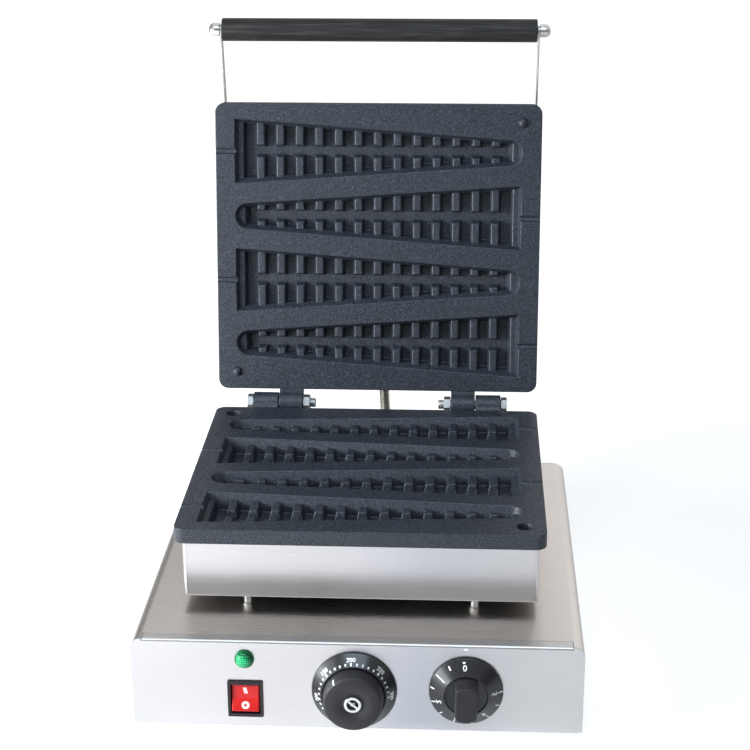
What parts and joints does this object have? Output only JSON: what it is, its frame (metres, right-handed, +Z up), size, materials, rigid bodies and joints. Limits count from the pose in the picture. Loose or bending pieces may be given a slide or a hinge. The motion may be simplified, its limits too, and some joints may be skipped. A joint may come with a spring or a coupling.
{
  "type": "waffle stick maker",
  "caption": "Countertop iron with toothed tapered moulds for waffles on a stick, a hinged upper half with a round grip, and a steel base with switch, lamp, thermostat and timer.",
  "frame": {"origin": "on the table, under the middle of the part's box, with the upper half open", "axes": "+Z up, +X to the right seen from the front, -Y to the front with the controls"},
  "size_m": [0.34, 0.4328, 0.4818],
  "materials": {
    "stainless": "brushed",
    "sheet_steel": "zinc plated",
    "bright_steel": "bright",
    "plate_coating": "dark non-stick coating on a casting",
    "heater_sheath": "heat-darkened",
    "copper": "bare",
    "pale_plastic": "matt",
    "black_plastic": "satin",
    "red_plastic": "gloss",
    "green_lens": "gloss",
    "grip": "streaked matt",
    "rubber": "matt"
  },
  "bodies": {
    "base": {"base_shell": "stainless", "front_panel": "stainless", "rear_panel": "stainless", "lower_box": "stainless", "bottom_plate": "sheet_steel", "lower_heater_bar": "sheet_steel", "thermostat_body": "sheet_steel", "foot_front_left": "rubber", "foot_front_right": "rubber", "foot_rear_left": "rubber", "foot_rear_right": "rubber", "post_front_left": "bright_steel", "post_front_right": "bright_steel", "post_rear_left": "bright_steel", "post_rear_right": "bright_steel", "rear_screw_left": "bright_steel", "rear_screw_right": "bright_steel", "lower_box_screw_front": "bright_steel", "lower_box_screw_rear": "bright_steel", "hinge_bolt_left": "bright_steel", "hinge_bolt_right": "bright_steel", "hinge_nut_left": "bright_steel", "hinge_nut_right": "bright_steel", "conduit": "bright_steel", "conduit_collar_low": "bright_steel", "lower_plate": "plate_coating", "lower_heater": "heater_sheath", "thermostat_capillary": "copper", "wire_bushing": "pale_plastic", "lamp_holder": "pale_plastic", "timer_body": "pale_plastic", "terminal_block": "pale_plastic", "switch_body": "black_plastic", "thermostat_bezel": "black_plastic", "cable_gland": "black_plastic", "lamp_lens": "green_lens"},
    "lid": {"upper_plate": "plate_coating", "upper_box": "stainless", "upper_heater": "heater_sheath", "upper_heater_bar": "sheet_steel", "upper_box_screw_front": "bright_steel", "upper_box_screw_rear": "bright_steel", "conduit_collar_high": "bright_steel", "handle_arm_left": "bright_steel", "handle_arm_right": "bright_steel", "handle_grip": "grip", "handle_rod": "sheet_steel", "handle_nut_left": "bright_steel", "handle_nut_right": "bright_steel", "arm_screw_front_left": "bright_steel", "arm_screw_front_right": "bright_steel", "arm_screw_rear_left": "bright_steel", "arm_screw_rear_right": "bright_steel"},
    "thermostat_dial": {"thermostat_knob": "black_plastic", "thermostat_shaft": "sheet_steel", "thermostat_screw": "bright_steel"},
    "timer_dial": {"timer_knob": "black_plastic", "timer_shaft": "sheet_steel"},
    "rocker": {"switch_rocker": "red_plastic"}
  },
  "joints": [
    {"name": "lid_hinge", "type": "hinge", "parent": "base", "child": "lid", "pos_m": [0, 0.11658, 0.15075], "axis": [1, 0, 0], "range_deg": [0, 98.66], "deforming": ["conduit"]},
    {"name": "thermostat_turn", "type": "hinge", "parent": "base", "child": "thermostat_dial", "pos_m": [-0.0015, -0.19242, 0.0411], "axis": [0, 1, 0], "range_deg": [-152, 132]},
    {"name": "timer_turn", "type": "hinge", "parent": "base", "child": "timer_dial", "pos_m": [0.0823, -0.19242, 0.043], "axis": [0, 1, 0], "range_deg": [0, 270]},
    {"name": "switch_tip", "type": "hinge", "parent": "base", "child": "rocker", "pos_m": [-0.0838, -0.18772, 0.0316], "axis": [1, 0, 0], "range_deg": [0, 20]}
  ]
}
